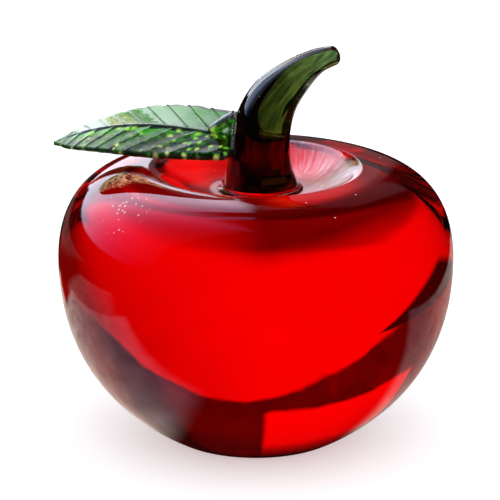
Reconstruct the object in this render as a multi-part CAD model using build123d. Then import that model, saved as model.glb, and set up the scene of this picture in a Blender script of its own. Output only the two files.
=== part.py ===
from build123d import *
import math
import os

# A solid glass apple with a curved glass stem and a pressed glass leaf, glued together.
# Millimetres, +Z up. The origin is the centre of the ground flat that the apple stands on.
# The leaf points to -X, the stem leans to +X, and the front of the object faces -Y.

# Apple body: one lump of glass, round about Z
body_diameter = 80.0
widest_height = 37.0
crest_height = 55.7
crest_diameter = 43.6
base_diameter = 35.6
base_bevel = 0.5
base_flare_angle = 29.3
dimple_depth = 4.4
dimple_slope_angle = 6.0

# How far each stretch of the profile runs straight on before it bends
low_start_share = 0.43
low_end_share = 0.47
high_start_share = 0.61
high_end_share = 0.68
lip_share = 0.28
dimple_floor_share = 0.55

# Stem: a horn of glass, drawn out from a flared foot to a rounded tip
foot_diameter = 15.2
foot_edge_radius = 0.5
foot_offset = 0.85
stem_diameter = 12.0
tip_diameter = 3.6
tip_round_share = 0.9
stem_rise = 26.9
stem_reach = 15.75
tip_angle = 20.0

# Each section of the stem between foot and tip: its share of the rise, of the reach and of the diameter
stem_section_shares = (
    (0.13, -0.010, 1.12),
    (0.36, 0.005, 1.00),
    (0.55, 0.072, 0.93),
    (0.69, 0.189, 0.84),
    (0.83, 0.406, 0.66),
    (0.95, 0.700, 0.45),
)

# Adhesive that holds the stem in the dimple
film_thickness = 0.3
squeeze_out_width = 1.3
squeeze_out_height = 1.1
seat_margin = 0.3

# Leaf: a pressed blade with a ridge down its middle and swelling lobes between its veins
leaf_length = 42.7
leaf_width = 18.3
leaf_thickness = 1.7
leaf_tip_thickness = 0.7
leaf_straight = 11.2
leaf_bend_radius = 59.0
leaf_fold_angle = 4.4
leaf_base_rise = 9.95
leaf_base_back = 2.7
leaf_yaw = 24.0
leaf_pitch = 1.5
leaf_roll = 16.4
leaf_stem_clearance = 0.4

# Outline of the blade: rounded base, widest near the base, long taper to the tip
widest_share = 0.32
base_round_share = 0.10
rise_share = 0.48
taper_share = 0.76
base_corner_share = 0.50
first_tooth_share = 0.10
last_tooth_share = 0.95

# Veins and lobes
vein_steps = 9
vein_angle = 44.0
vein_crowding_share = 0.85
near_vein_share = 0.0
far_vein_share = 0.5
lobe_swell = 0.4
underside_swell = 0.25
tooth_height = 0.4
tooth_belly_share = 0.55
tooth_step_share = 0.45

# Midrib ridge and the stalk that carries the leaf
midrib_diameter = 1.7
midrib_end_diameter = 0.8
midrib_end_share = 0.93
midrib_stations = 6
stalk_diameter = 2.8
stalk_root_diameter = 2.3
stalk_root_share = 0.085
stalk_lift_share = 0.30
stalk_joint_rise = 14.9
stalk_joint_back = 2.0
stalk_joint_side_share = 0.58

# Adhesive bead between the stalk and the stem
stalk_glue_gap = 0.25
bead_diameter = 4.2
bead_place_share = 0.23
bead_drop = 1.0

body_radius = body_diameter / 2
crest_radius = crest_diameter / 2
base_radius = base_diameter / 2
foot_radius = foot_diameter / 2
seat_height = crest_height - dimple_depth
seat_radius = foot_offset + foot_radius + squeeze_out_width + seat_margin
foot_height = seat_height + film_thickness
leaf_half_width = leaf_width / 2
stem_side = foot_offset - stem_diameter / 2
leaf_place = (
    Pos(stem_side, leaf_base_back, foot_height + leaf_base_rise)
    * Rot(0, 0, 180 - leaf_yaw)
    * Rot(0, -leaf_pitch, 0)
    * Rot(-leaf_roll, 0, 0)
)


def polar(length, degrees):
    return Vector(length * math.cos(math.radians(degrees)), length * math.sin(math.radians(degrees)))


def in_profile(point):
    # A radius and height as a place in the XZ plane
    return Vector(point.X, 0, point.Y)


def apple_body():
    bevel_foot = Vector(base_radius - base_bevel, 0)
    skin_start = Vector(base_radius, 0) + polar(base_bevel, base_flare_angle)
    widest = Vector(body_radius, widest_height)
    crest = Vector(crest_radius, crest_height)
    seat_edge = Vector(seat_radius, seat_height)

    low_rise = widest_height - skin_start.Y
    low_start = skin_start + polar(low_start_share * low_rise, base_flare_angle)
    low_end = widest - Vector(0, low_end_share * low_rise)
    high_start = widest + Vector(0, high_start_share * (crest_height - widest_height))
    high_end = crest + Vector(high_end_share * (body_radius - crest_radius), 0)
    dimple_width = crest_radius - seat_radius
    lip = crest - Vector(lip_share * dimple_width, 0)
    floor = seat_edge + polar(dimple_floor_share * dimple_width, dimple_slope_angle)

    outline = [
        Line(Vector(0, 0, 0), in_profile(bevel_foot)),
        Bezier(in_profile(bevel_foot), in_profile(Vector(base_radius, 0)), in_profile(skin_start)),
        Bezier(*[in_profile(p) for p in (skin_start, low_start, low_end, widest)]),
        Bezier(*[in_profile(p) for p in (widest, high_start, high_end, crest)]),
        Bezier(*[in_profile(p) for p in (crest, lip, floor, seat_edge)]),
        Line(in_profile(seat_edge), Vector(0, 0, seat_height)),
        Line(Vector(0, 0, seat_height), Vector(0, 0, 0)),
    ]
    return revolve(Face(Wire(outline)), Axis.Z, 360)


def stem_solid(extra=0.0):
    # The whole stem, or the space round it when extra is the width of a gap
    foot = Vector(foot_offset, 0, foot_height)
    tip = foot + Vector(stem_reach, 0, stem_rise)
    middles = [foot + Vector(reach * stem_reach, 0, rise * stem_rise) for rise, reach, _ in stem_section_shares]
    diameters = [foot_diameter, *(share * stem_diameter for _, _, share in stem_section_shares), tip_diameter]
    along_tip = in_profile(polar(1, tip_angle))
    line = Spline(foot, *middles, tip, tangents=[Vector(0, 0, 1), along_tip])

    sections = []
    for place, diameter in zip([foot, *middles, tip], diameters):
        direction = line.tangent_at(line.param_at_point(place))
        plane = Plane(origin=place, x_dir=(0, 1, 0), z_dir=direction)
        sections.append(plane * Circle(diameter / 2 + extra))
    return loft(sections)


def stem():
    horn = stem_solid()
    horn = fillet(horn.edges().sort_by(Axis.Z)[0], foot_edge_radius)
    tip_edge = horn.edges().sort_by(Axis.X)[-1]
    return fillet(tip_edge, tip_round_share * tip_diameter / 2)


def stem_adhesive(stem_piece):
    # A film under the foot and the concave ring that was squeezed out round it
    outer = foot_radius + squeeze_out_width
    top = seat_height + squeeze_out_height
    ring_foot = Vector(outer, 0, seat_height)
    ring_top = Vector(foot_radius, 0, top)
    ring_corner = Vector(foot_radius, 0, seat_height)
    hollow = ring_corner + ((ring_foot - ring_corner) + (ring_top - ring_corner)) * (1 - math.sqrt(0.5))
    outline = [
        Line(Vector(0, 0, seat_height), ring_foot),
        ThreePointArc(ring_foot, hollow, ring_top),
        Line(ring_top, Vector(0, 0, top)),
        Line(Vector(0, 0, top), Vector(0, 0, seat_height)),
    ]
    puddle = revolve(Face(Wire(outline)), Axis.Z, 360)
    return Pos(foot_offset, 0, 0) * puddle - stem_piece


def midrib_point(s, drop=0.0):
    # A place on the middle line of the leaf, s along it, drop below its upper side
    turn = max(s - leaf_straight, 0) / leaf_bend_radius
    straight = min(s, leaf_straight)
    radius = leaf_bend_radius - drop
    return Vector(straight + radius * math.sin(turn), 0, radius * math.cos(turn) - leaf_bend_radius)


def thickness_at(s):
    share = min(max(s / leaf_length, 0), 1)
    return leaf_thickness + (leaf_tip_thickness - leaf_thickness) * share


def midrib_direction(s):
    turn = max(s - leaf_straight, 0) / leaf_bend_radius
    return Vector(math.cos(turn), 0, -math.sin(turn))


def blade_reach():
    return midrib_point(leaf_length).X


def outline_shape(u):
    # Width of the blade by its place between base and tip, before it is scaled to the real width
    return (u + base_round_share) ** rise_share * (1 - u) ** taper_share


def half_width_at(x):
    u = min(max(x / blade_reach(), 0), 1)
    return leaf_half_width * outline_shape(u) / outline_shape(widest_share)


def vein_places(offset):
    # Where the veins leave the midrib, as lengths along it, crowding together towards the tip
    places = []
    for step in range(1, vein_steps):
        share = (step + offset) / vein_steps
        if share < 1:
            places.append(leaf_length * share**vein_crowding_share)
    first_gap = places[1] - places[0]
    behind = math.ceil(leaf_width / first_gap)
    before = [places[0] - first_gap * n for n in range(behind, 0, -1)]
    return before + places + [leaf_length]


def vein_end(s):
    # Where a vein that leaves the midrib at s meets the smooth edge of the blade
    start = midrib_point(s).X
    x = start
    for _ in range(60):
        x = start + half_width_at(x) / math.tan(math.radians(vein_angle))
    return Vector(x, half_width_at(x), 0)


def toothed_outline(side, offset):
    # Half of the blade seen from above: a rounded base, then one forward-leaning tooth for each vein
    reach = blade_reach()
    corner = Vector(0, base_corner_share * leaf_half_width, 0)
    tip = Vector(reach, 0, 0)
    ends = [vein_end(s) for s in vein_places(offset)]
    stops = [p for p in ends if first_tooth_share * reach < p.X < last_tooth_share * reach]

    edges = [Line(Vector(0, 0, 0), corner)]
    last = corner
    for stop in stops + [tip]:
        along = stop - last
        out = Vector(-along.Y, along.X, 0).normalized() * tooth_height
        belly = last + along * tooth_belly_share + out
        if stop is tip:
            edges.append(ThreePointArc(last, belly, tip))
        else:
            tooth_tip = stop + out * tooth_step_share
            edges.append(ThreePointArc(last, belly, tooth_tip))
            edges.append(Line(tooth_tip, stop))
        last = stop
    edges.append(Line(tip, Vector(0, 0, 0)))
    face = Face(Wire(edges))
    return face if side > 0 else mirror(face, Plane.XZ)


def lobe_section(places, out, side):
    # The blade cut lengthwise, a distance out from the midrib: one swelling lobe between two veins
    shift = out / math.tan(math.radians(vein_angle))
    fold = math.radians(leaf_fold_angle)
    aside = Vector(0, side * out * math.cos(fold), -out * math.sin(fold))

    def upper(s, swell=0.0):
        return midrib_point(s + shift, -swell) + aside

    def lower(s, swell=0.0):
        return midrib_point(s + shift, thickness_at(s + shift) + swell) + aside

    top = []
    under = []
    for start, end in zip(places, places[1:]):
        middle = (start + end) / 2
        top.append(ThreePointArc(upper(start), upper(middle, lobe_swell), upper(end)))
        under.append(ThreePointArc(lower(start), lower(middle, underside_swell), lower(end)))
    ends = [Line(upper(s), lower(s)) for s in (places[0], places[-1])]
    return Face(Wire(top + under + ends))


def leaf_half(side, offset):
    # Lobes run out from the middle plane along the veins, and are cut to the toothed outline
    places = vein_places(offset)
    slab = loft([lobe_section(places, out, side) for out in (0, leaf_width)], ruled=True)
    outline = toothed_outline(side, offset)
    column = extrude(Pos(0, 0, -leaf_length) * outline, amount=2 * leaf_length, dir=(0, 0, 1))
    return slab & column


def midrib():
    # A slim tapering ridge, sunk so that less than half of it stands out of the blade
    sections = []
    for n in range(midrib_stations):
        share = n / (midrib_stations - 1)
        s = share * midrib_end_share * leaf_length
        diameter = midrib_diameter + share * (midrib_end_diameter - midrib_diameter)
        place = midrib_point(s, diameter / 4)
        sections.append(Plane(origin=place, x_dir=(0, 1, 0), z_dir=midrib_direction(s)) * Circle(diameter / 2))
    return loft(sections)


def stalk_ends():
    # The stalk rises from the blade near its base into the side of the stem
    in_leaf = midrib_point(stalk_root_share * leaf_length, -stalk_lift_share * stalk_root_diameter)
    root = (leaf_place * Pos(in_leaf)).position
    joint_x = foot_offset - stalk_joint_side_share * stem_diameter / 2
    joint = Vector(joint_x, stalk_joint_back, foot_height + stalk_joint_rise)
    return root, joint


def stalk():
    root, joint = stalk_ends()
    along = (joint - root).normalized()
    root_plane = Plane(origin=root, z_dir=along)
    joint_plane = Plane(origin=joint, x_dir=root_plane.x_dir, z_dir=along)
    bar = loft([root_plane * Circle(stalk_root_diameter / 2), joint_plane * Circle(stalk_diameter / 2)])
    return bar + Pos(root) * Sphere(stalk_root_diameter / 2)


def leaf():
    blade = leaf_half(1, near_vein_share) + leaf_half(-1, far_vein_share) + midrib()
    blade = leaf_place * blade - stem_solid(leaf_stem_clearance)
    return blade + (stalk() - stem_solid(stalk_glue_gap))


def leaf_adhesive(stem_piece, leaf_piece):
    # A rounded bead that fills the gap between the stalk and the stem and rises a little round it
    root, joint = stalk_ends()
    centre = joint + (root - joint) * bead_place_share - Vector(0, 0, bead_drop)
    return Pos(centre) * Sphere(bead_diameter / 2) - stem_piece - leaf_piece


parts = {}
parts["apple_body"] = apple_body()
parts["stem"] = stem()
parts["stem_adhesive"] = stem_adhesive(parts["stem"])
parts["leaf"] = leaf()
parts["leaf_adhesive"] = leaf_adhesive(parts["stem"], parts["leaf"])

os.makedirs("parts", exist_ok=True)
for name, shape in parts.items():
    export_step(shape, f"parts/{name}.step")
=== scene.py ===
import math
import random

import bmesh
import bpy
import numpy as np
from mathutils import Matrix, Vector, noise


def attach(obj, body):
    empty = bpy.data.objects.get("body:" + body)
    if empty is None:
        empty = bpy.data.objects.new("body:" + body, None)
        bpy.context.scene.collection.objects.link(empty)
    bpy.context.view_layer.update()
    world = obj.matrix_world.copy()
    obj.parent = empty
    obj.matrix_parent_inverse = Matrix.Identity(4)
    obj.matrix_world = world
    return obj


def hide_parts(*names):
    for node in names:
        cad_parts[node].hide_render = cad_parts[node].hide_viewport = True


# A solid red glass apple with a curved dark green glass stem and a pressed green glass leaf.
# Lengths in this file are millimetres and are turned into metres when a mesh is made.
# The leaf points to -X, the stem leans to +X, and the front of the object faces -Y.

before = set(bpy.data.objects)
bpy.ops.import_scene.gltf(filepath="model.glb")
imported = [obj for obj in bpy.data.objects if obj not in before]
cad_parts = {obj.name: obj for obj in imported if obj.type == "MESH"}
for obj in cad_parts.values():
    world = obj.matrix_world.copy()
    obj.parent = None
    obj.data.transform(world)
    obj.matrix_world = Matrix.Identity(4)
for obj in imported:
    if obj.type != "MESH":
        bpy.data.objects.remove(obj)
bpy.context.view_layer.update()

MM = 0.001

# camera

CAMERA_ELEVATION = 18.5
CAMERA_DISTANCE = 600.0
CAMERA_TARGET_HEIGHT = 28.0
PICTURE = 500.0
PIXELS_PER_MM = 4.916
TARGET_PIXEL = (255.87, 297.7)
SENSOR = 36.0


def make_camera():
    tilt = math.radians(CAMERA_ELEVATION)
    look = Vector((0, math.cos(tilt), -math.sin(tilt)))
    up = Vector((0, math.sin(tilt), math.cos(tilt)))
    right = Vector((1, 0, 0))
    focal = PIXELS_PER_MM * CAMERA_DISTANCE
    aside = (PICTURE / 2 - TARGET_PIXEL[0]) / focal
    above = (TARGET_PIXEL[1] - PICTURE / 2) / focal
    aim = look + right * aside + up * above
    data = bpy.data.cameras.new("camera")
    data.lens = focal / PICTURE * SENSOR
    data.sensor_width = SENSOR
    data.clip_start = 0.02
    data.clip_end = 20.0
    camera = bpy.data.objects.new("camera", data)
    camera.location = (Vector((0, 0, CAMERA_TARGET_HEIGHT)) - look * CAMERA_DISTANCE) * MM
    camera.rotation_mode = "QUATERNION"
    camera.rotation_quaternion = aim.to_track_quat("-Z", "Y")
    bpy.context.scene.collection.objects.link(camera)
    bpy.context.scene.camera = camera


# curves


def bezier(points, count):
    """Points along a Bezier curve of any order up to three."""
    t = np.linspace(0.0, 1.0, count)[:, None]
    p = [np.array(q, float) for q in points]
    if len(p) == 2:
        return (1 - t) * p[0] + t * p[1]
    if len(p) == 3:
        return (1 - t) ** 2 * p[0] + 2 * (1 - t) * t * p[1] + t**2 * p[2]
    return (1 - t) ** 3 * p[0] + 3 * (1 - t) ** 2 * t * p[1] + 3 * (1 - t) * t**2 * p[2] + t**3 * p[3]


def chain(*pieces):
    """Several runs of points end to end, without the doubled ones."""
    return np.vstack([pieces[0]] + [p[1:] for p in pieces[1:]])


def hermite(points, tangents, stations, wanted):
    """A smooth curve through points that has the tangents at them."""
    out = []
    for w in wanted:
        i = int(np.clip(np.searchsorted(stations, w) - 1, 0, len(stations) - 2))
        h = stations[i + 1] - stations[i]
        t = (w - stations[i]) / h
        a = 2 * t**3 - 3 * t**2 + 1
        b = t**3 - 2 * t**2 + t
        c = -2 * t**3 + 3 * t**2
        d = t**3 - t**2
        out.append(a * points[i] + b * h * tangents[i] + c * points[i + 1] + d * h * tangents[i + 1])
    return np.array(out)


def slopes(points, stations):
    """Tangents at points along a curve, from the points on both sides."""
    points = np.asarray(points, float)
    steps = np.diff(points, axis=0) / np.diff(stations).reshape(-1, *([1] * (points.ndim - 1)))
    inner = (steps[1:] + steps[:-1]) / 2
    return np.concatenate([steps[:1], inner, steps[-1:]])


# mesh helpers


def wave(point, scale, seed):
    """Smooth noise from -1 to 1 that belongs to a place in space."""
    return noise.noise(Vector(point) / scale + Vector((seed * 7.31, seed * 3.17, seed * 5.71)))


def tube(loops, start=None, end=None):
    """Vertices and faces of a skin over closed loops, each end closed to a point."""
    loops = [np.asarray(loop, float) for loop in loops]
    count = len(loops[0])
    verts = [tuple(p) for loop in loops for p in loop]
    faces = []
    for i in range(len(loops) - 1):
        a, b = i * count, (i + 1) * count
        for k in range(count):
            n = (k + 1) % count
            faces.append((a + k, a + n, b + n, b + k))
    for pole, base, flip in ((start, 0, True), (end, (len(loops) - 1) * count, False)):
        if pole is None:
            continue
        verts.append(tuple(pole))
        tip = len(verts) - 1
        for k in range(count):
            n = (k + 1) % count
            faces.append((tip, base + n, base + k) if flip else (tip, base + k, base + n))
    return verts, faces


def angles(turns):
    return [2 * math.pi * k / turns for k in range(turns)]


def ball(centre, radius, rings=8, turns=12):
    """Vertices and faces of a small sphere, for bubbles."""
    x, y, z = centre
    loops = []
    for i in range(1, rings):
        a = math.pi * i / rings
        ring = radius * math.sin(a)
        level = z - radius * math.cos(a)
        loops.append([(x + ring * math.cos(b), y + ring * math.sin(b), level) for b in angles(turns)])
    return tube(loops, (x, y, z - radius), (x, y, z + radius))


def gather(parts):
    """One list of vertices and faces from several, the hollow ones turned inside out."""
    verts, faces = [], []
    for part_verts, part_faces, hollow in parts:
        shift = len(verts)
        verts.extend(part_verts)
        for face in part_faces:
            face = tuple(shift + i for i in face)
            faces.append(face[::-1] if hollow else face)
    return verts, faces


def make_object(name, verts, faces, material, sharp_angle=None):
    mesh = bpy.data.meshes.new(name)
    mesh.from_pydata([(x * MM, y * MM, z * MM) for x, y, z in verts], [], faces)
    mesh.validate()
    mesh.shade_smooth()
    if sharp_angle is not None:
        mesh.set_sharp_from_angle(angle=math.radians(sharp_angle))
    obj = bpy.data.objects.new(name, mesh)
    bpy.context.scene.collection.objects.link(obj)
    obj.data.materials.append(material)
    return obj


def outward(obj):
    """Turns the faces outward, where a mesh has no hollows."""
    bm = bmesh.new()
    bm.from_mesh(obj.data)
    bmesh.ops.recalc_face_normals(bm, faces=bm.faces)
    bm.to_mesh(obj.data)
    bm.free()
    obj.data.shade_smooth()


# materials


def rgb(r, g, b):
    return (r, g, b, 1.0)


WHITE = rgb(1.0, 1.0, 1.0)


class Field:
    """A socket whose value changes from place to place, and that can be reckoned with like a number."""

    def __init__(self, nodes, socket):
        self.nodes = nodes
        self.socket = socket

    def __add__(self, other):
        return self.nodes.math("ADD", self, other)

    def __sub__(self, other):
        return self.nodes.math("SUBTRACT", self, other)

    def __rsub__(self, other):
        return self.nodes.math("SUBTRACT", other, self)

    def __mul__(self, other):
        return self.nodes.math("MULTIPLY", self, other)

    def __truediv__(self, other):
        return self.nodes.math("DIVIDE", self, other)

    def __pow__(self, power):
        return self.nodes.math("POWER", self, power)

    def __abs__(self):
        return self.nodes.math("ABSOLUTE", self)

    def most(self, *others):
        """The largest of several levels."""
        out = self
        for other in others:
            out = self.nodes.math("MAXIMUM", out, other)
        return out

    def ramp(self, low, high, out_low=0.0, out_high=1.0, smooth=True):
        """Runs from one level at low to another at high, and keeps those levels outside."""
        ends = {"Value": self, "From Min": low, "From Max": high, "To Min": out_low, "To Max": out_high}
        kind = "SMOOTHSTEP" if smooth else "LINEAR"
        node = self.nodes.add("ShaderNodeMapRange", ends, interpolation_type=kind)
        return Field(self.nodes, node.outputs["Result"])

    def slope(self, *stops):
        """A measure that runs straight from stop to stop, each stop a value and a level."""
        out = stops[0][1]
        for (low, start), (high, end) in zip(stops, stops[1:]):
            out = self.ramp(low, high, 0.0, end - start, smooth=False) + out
        return out

    def band(self, low, high, soft, level=1.0):
        """A level that holds between two values and fades out softly at both."""
        return self.ramp(low - soft, low + soft) * self.ramp(high - soft, high + soft, 1.0, 0.0) * level


class Nodes:
    """Short names for the node calls that the materials use."""

    def __init__(self, owner):
        owner.use_nodes = True
        self.tree = owner.node_tree
        self.tree.nodes.clear()

    def add(self, kind, inputs=None, **settings):
        node = self.tree.nodes.new(kind)
        for key, value in settings.items():
            setattr(node, key, value)
        for key, value in (inputs or {}).items():
            self.put(node.inputs[key], value)
        return node

    def put(self, socket, value):
        """Sets a socket to a number or colour, or links it when the value comes from another socket."""
        if isinstance(value, Field):
            value = value.socket
        if isinstance(value, bpy.types.NodeSocket):
            self.tree.links.new(value, socket)
        else:
            socket.default_value = value

    def math(self, operation, *values):
        return Field(self, self.add("ShaderNodeMath", dict(enumerate(values)), operation=operation).outputs[0])

    def noise(self, vector, scale, detail=2.0, distortion=0.0):
        inputs = {"Vector": vector, "Scale": scale, "Detail": detail, "Distortion": distortion}
        return Field(self, self.add("ShaderNodeTexNoise", inputs).outputs["Fac"])

    def cells(self, vector, scale, randomness=1.0, dimensions="3D"):
        """Random cells: the distance to the middle of each, and a random colour that belongs to it."""
        inputs = {"Vector": vector, "Scale": scale, "Randomness": randomness}
        node = self.add("ShaderNodeTexVoronoi", inputs, voronoi_dimensions=dimensions)
        return Field(self, node.outputs["Distance"]), node.outputs["Color"]

    def mix(self, factor, a, b):
        node = self.add("ShaderNodeMix", {0: factor, 6: a, 7: b}, data_type="RGBA")
        return Field(self, node.outputs[2])

    def vector(self, operation, a, b):
        node = self.add("ShaderNodeVectorMath", {0: a, 1: b}, operation=operation)
        return Field(self, node.outputs["Vector" if operation == "SUBTRACT" else "Value"])

    def split(self, whole, kind="XYZ"):
        node = self.add("ShaderNodeSeparate" + kind, {0: whole})
        return [Field(self, socket) for socket in node.outputs]

    def in_mm(self, place):
        return [part * (1 / MM) for part in self.split(place)]

    def join(self, *parts, kind="XYZ"):
        node = self.add("ShaderNodeCombine" + kind, dict(enumerate(parts)))
        return Field(self, node.outputs[0])

    def grey(self, level):
        return self.join(level, level, level, kind="Color")

    def rays(self):
        """Whether a ray comes from a mirroring skin, through glass, or straight from the camera."""
        path = self.add("ShaderNodeLightPath")
        names = ("Is Glossy Ray", "Is Transmission Ray", "Is Camera Ray")
        return [Field(self, path.outputs[name]) for name in names]


def from_axis(x, y):
    return (x * x + y * y) ** 0.5


# painted shade in the red glass round the shoulder: where it starts, how it climbs aside, and its tone
PAINTED_SHADE_START = 46.4
PAINTED_SHADE_CLIMB = 0.13
PAINTED_SHADE_TONE = rgb(0.08, 0.0, 0.0)
WALL_INNER, WALL_OUTER = 9.0, 21.0
WALL_ROUGHNESS = 0.26
RIPPLE_HEIGHT = 0.6
DUST_TONE = rgb(0.9, 0.86, 0.86)
DRIFT_PLACE = (-25.5 * MM, -20.5 * MM, 52.8 * MM)


def shoulder_painted_shade(n, place):
    """Painted shade: the red glass is given a darker tone round the shoulder, but for one quarter of it."""
    x, y, z = n.in_mm(place)
    cloud = n.noise(place, 90.0, detail=3.0) * 1.8 - 0.9
    start = abs(x) * PAINTED_SHADE_CLIMB + PAINTED_SHADE_START + cloud
    high = (z - start).ramp(-1.0, 3.8) * z.ramp(54.0, 55.5, 1.0, 0.80)
    quarter = x.ramp(-16, 3).most(y.ramp(-4, 16))
    return high * from_axis(x, y).ramp(22.5, 28.0) * quarter


def dimple_strokes(n, place):
    """Fine strokes that the tool left in the wall of the dimple, running slantwise down it."""
    x, y, _ = n.split(place)
    reach = from_axis(x, y)
    slant = n.math("ARCTAN2", x, y) * 0.045 + reach * 1.6
    return n.noise(n.join(slant, reach * 0.22), 700.0, detail=3.0, distortion=0.6)


def dimple_ripples(n, place):
    """The strokes again, as relief in the wall all round."""
    x, y, z = n.in_mm(place)
    reach = from_axis(x, y)
    wall = reach.ramp(8.5, 11) * reach.ramp(17, 20.5, 1.0, 0.0) * n.math("GREATER_THAN", z, 50)
    return dimple_strokes(n, place) * wall * RIPPLE_HEIGHT


def tooled_wall(n, place):
    """The side of the dimple wall that the tool left matt and streaked."""
    x, y, z = n.in_mm(place)
    reach = from_axis(x, y)
    wall = reach.ramp(WALL_INNER, WALL_INNER + 2.0) * reach.ramp(WALL_OUTER - 2.5, WALL_OUTER, 1.0, 0.0)
    return wall * x.ramp(4, 9) * z.ramp(49, 50)


def tooled_roughness(n, place):
    return tooled_wall(n, place) * WALL_ROUGHNESS


def tooled_lustre(n, place):
    return tooled_wall(n, place) * dimple_strokes(n, place).ramp(0.42, 0.60, 0.25, 1.0)


def dust(n, place):
    """Specks of dust that lie on the glass, and a drift of finer ones at the front left of the crest."""
    specks, _ = n.cells(place, 260.0)
    finer, _ = n.cells(place, 900.0)
    height = n.in_mm(place)[2]
    away = n.vector("DISTANCE", place, DRIFT_PLACE)
    lying = specks.ramp(0.03, 0.055, 1.0, 0.0) * height.ramp(50, 53)
    drift = finer.ramp(0.14, 0.20, 1.0, 0.0) * away.ramp(3 * MM, 7 * MM, 1.0, 0.0)
    return lying.most(drift)


def dusty_tone(n, place, tone):
    return n.mix(dust(n, place), tone, DUST_TONE)


def dusty_clearness(n, place):
    return 1.0 - dust(n, place)


# the painted shade round the shoulder, with the real dust specks over it
def body_painted_shade_and_dust(n, place, tone):
    return dusty_tone(n, place, n.mix(shoulder_painted_shade(n, place), tone, PAINTED_SHADE_TONE))


def stem_streaks_and_painted_light(n, place, tone):
    """Long uneven streaks run through the stem. The upper stem is darker green glass than its foot; the lower
    stem is tinted red-brown, darker toward the foot, as painted light for the red body seen through it, and a
    pale band across the front is a painted highlight.
    """
    x, y, z = n.in_mm(place)
    # a measure that stays the same along the bend of the stem
    rise = (z - 58.0).most(0.0)
    lean = x - rise**2.4 * 0.0095
    streaks = n.noise(n.join(lean, y, z * 0.05), 0.62, detail=3.0, distortion=0.4)
    # painted light: the lower stem is tinted red-brown for the red body seen through it, and darker toward the
    # foot
    lower = n.mix(streaks.ramp(0.36, 0.62), rgb(0.55, 0.16, 0.08), rgb(1.0, 0.35, 0.14))
    lower = n.mix(z.ramp(57.0, 53.5), lower, rgb(0.30, 0.08, 0.04))
    upper = n.mix(streaks.ramp(0.38, 0.62), rgb(0.12, 0.24, 0.14), rgb(0.55, 1.0, 0.62))
    # painted highlight: a pale green band across the front of the stem
    painted_highlight_band = z.ramp(62.9, 63.5) * z.ramp(64.3, 65.2, 1.0, 0.0) * y.ramp(-1.0, -3.0)
    upper = n.mix(painted_highlight_band, upper, rgb(0.9, 1.0, 0.5))
    return dusty_tone(n, place, n.mix(z.ramp(59.0, 63.0), lower, upper))


def stem_lustre(n, place):
    """The lustre lies on the upper stem and thins out toward the foot."""
    return n.in_mm(place)[2].ramp(58, 66, 0.04, 0.5)


def leaf_measures(n, place):
    """Millimetres along the leaf, toward its near edge, and above its bent middle."""
    away = n.vector("SUBTRACT", place, tuple(LEAF_BASE * MM))
    along, near, up = (n.vector("DOT_PRODUCT", away, tuple(LEAF_TURN @ axis / MM)) for axis in np.eye(3))
    bent = (along - LEAF_STRAIGHT).most(0.0) ** 2.0
    return along, near, up + bent / (2 * LEAF_BEND) + abs(near) * math.sin(LEAF_FOLD)


def underside(up):
    return up.ramp(-0.25, -0.45)


def leaf_lustre(n, place):
    """The lustre lies on the far half of the leaf and on the stalk, and only in flecks on the near half."""
    along, near, up = leaf_measures(n, place)
    flecks = n.noise(place, 230.0, detail=2.0).ramp(0.50, 0.66, 0.0, 0.05)
    pale = n.noise(place, 190.0, detail=3.0).ramp(0.40, 0.58, 0.30, 0.66)
    blade = pale + (flecks - pale) * near.ramp(-0.4, 0.8)
    stalk = up.ramp(1.3, 1.7) * along.ramp(6.0, 4.5)
    return blade + (1.0 - blade) * stalk


def leaf_pearls(n, place):
    """Round frosted pearls all over the near half: how strongly each place belongs to one, and its tone."""
    along, near, _ = leaf_measures(n, place)
    across = n.noise(place, 420.0) * 1.3 + along
    aside = n.noise(place, 560.0) * 1.3 + near
    middle, colour = n.cells(n.join(across, aside), 0.50, randomness=0.95, dimensions="2D")
    chance, size, tone = n.split(colour, "Color")
    spot = middle.ramp(size * 0.16 + 0.02, size * 0.26 + 0.24, 1.0, 0.0)
    return spot * near.ramp(0.3, 1.0) * chance.ramp(0.15, 0.55), tone


def leaf_casing(n, place, tone):
    """The near half is a fuller green with pearls of many tones in it, and clouded on its underside."""
    _, near, up = leaf_measures(n, place)
    there, which = leaf_pearls(n, place)
    cloud = n.noise(place, 300.0, detail=3.0)
    below = n.mix(cloud.ramp(0.35, 0.65), rgb(0.10, 0.20, 0.02), rgb(1.0, 1.0, 0.35))
    tone = n.mix(near.ramp(-0.2, 0.8), tone, rgb(0.48, 1.0, 0.14))
    pearl = n.mix(which**1.6, rgb(0.12, 0.72, 0.02), rgb(0.62, 1.0, 0.10))
    return n.mix(underside(up) * near.ramp(0.0, 0.9), n.mix(there.ramp(0.0, 0.4), tone, pearl), below)


def leaf_clearness(n, place):
    """The glass is clear all over but for the frosted pearls."""
    return leaf_pearls(n, place)[0] * -0.85 + 1.0


def leaf_roughness(n, place):
    """The underside of the leaf is matt, and so are the pearls."""
    up = leaf_measures(n, place)[2]
    return (underside(up) * 0.30).most(leaf_pearls(n, place)[0] * 0.35)


GLASS_IOR = 1.5
LUSTRE_IOR = 2.2
CORD_SCALE = 60.0
SMUDGE_SCALE = 140.0


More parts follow.
